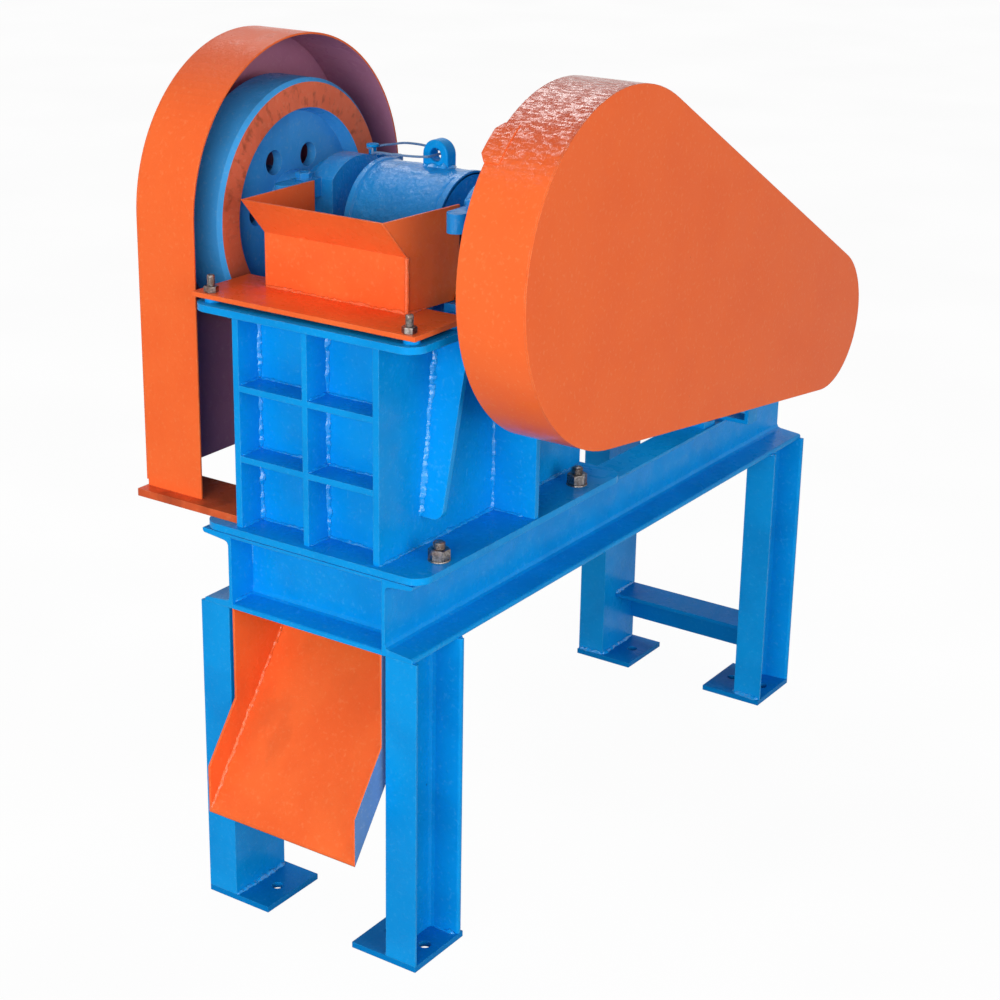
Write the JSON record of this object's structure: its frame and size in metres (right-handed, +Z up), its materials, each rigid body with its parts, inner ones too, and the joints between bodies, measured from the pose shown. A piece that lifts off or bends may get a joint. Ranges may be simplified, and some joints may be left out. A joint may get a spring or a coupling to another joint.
{
  "type": "laboratory jaw crusher",
  "caption": "Small jaw crusher on a welded channel stand, with a flywheel hoop, belt guard, feed hopper and discharge chute, in blue and orange enamel.",
  "frame": {"origin": "on the floor, in the middle of the anchor bolt holes", "axes": "+X across the machine towards the belt guard, +Y from the chute end to the motor end, +Z up"},
  "size_m": [0.5815, 1.095, 1.114],
  "materials": {
    "blue_enamel": "gloss enamel paint",
    "orange_enamel": "gloss enamel paint",
    "bare_steel": "machined, lightly oiled",
    "belt_rubber": "matt"
  },
  "bodies": {
    "frame": {"beam_left": "blue_enamel", "beam_right": "blue_enamel", "beam_front": "blue_enamel", "beam_rear": "blue_enamel", "posts_front": "blue_enamel", "posts_rear": "blue_enamel", "foot_plates": "blue_enamel", "rear_brace": "blue_enamel", "base_flange": "blue_enamel", "side_plate_left": "blue_enamel", "side_plate_right": "blue_enamel", "front_wall": "blue_enamel", "front_ribs": "blue_enamel", "side_ribs": "blue_enamel", "top_flange": "blue_enamel", "toggle_block": "blue_enamel", "toggle_plate": "bare_steel", "fixed_jaw_plate": "bare_steel", "lifting_wire": "blue_enamel", "housing_left": "blue_enamel", "housing_right": "blue_enamel", "wire_stud": "bare_steel", "hopper_plate": "orange_enamel", "hopper_front": "orange_enamel", "hopper_sides": "orange_enamel", "hopper_spacers": "blue_enamel", "flywheel_guard_band": "orange_enamel", "flywheel_guard_side": "orange_enamel", "flywheel_guard_feet": "orange_enamel", "belt_guard_band": "orange_enamel", "belt_guard_face": "orange_enamel", "belt_guard_brackets": "blue_enamel", "v_belts": "belt_rubber", "motor_frame": "blue_enamel", "motor_fan_cover": "blue_enamel", "motor_terminal_box": "blue_enamel", "motor_bars": "blue_enamel", "chute_floor": "orange_enamel", "chute_sides": "orange_enamel"},
    "drive_shaft": {"eccentric_shaft": "bare_steel", "flywheel": "blue_enamel", "crusher_pulley": "blue_enamel"},
    "swing_jaw_body": {"swing_jaw": "blue_enamel", "swing_jaw_plate": "bare_steel", "lifting_lug": "blue_enamel"},
    "motor_rotor": {"motor_pulley": "bare_steel"}
  },
  "joints": [
    {"name": "shaft_spin", "type": "hinge", "parent": "frame", "child": "drive_shaft", "pos_m": [0, -0.274, 0.89], "axis": [1, 0, 0], "continuous": true},
    {"name": "jaw_orbit", "type": "hinge", "parent": "drive_shaft", "child": "swing_jaw_body", "pos_m": [0, -0.269, 0.89], "axis": [1, 0, 0], "continuous": true},
    {"name": "motor_spin", "type": "hinge", "parent": "frame", "child": "motor_rotor", "pos_m": [0.2, 0.303, 0.687], "axis": [1, 0, 0], "continuous": true}
  ],
  "couplings": [
    {"joint": "jaw_orbit", "follows": "shaft_spin", "ratio": -1},
    {"joint": "motor_spin", "follows": "shaft_spin", "ratio": 2.5}
  ]
}
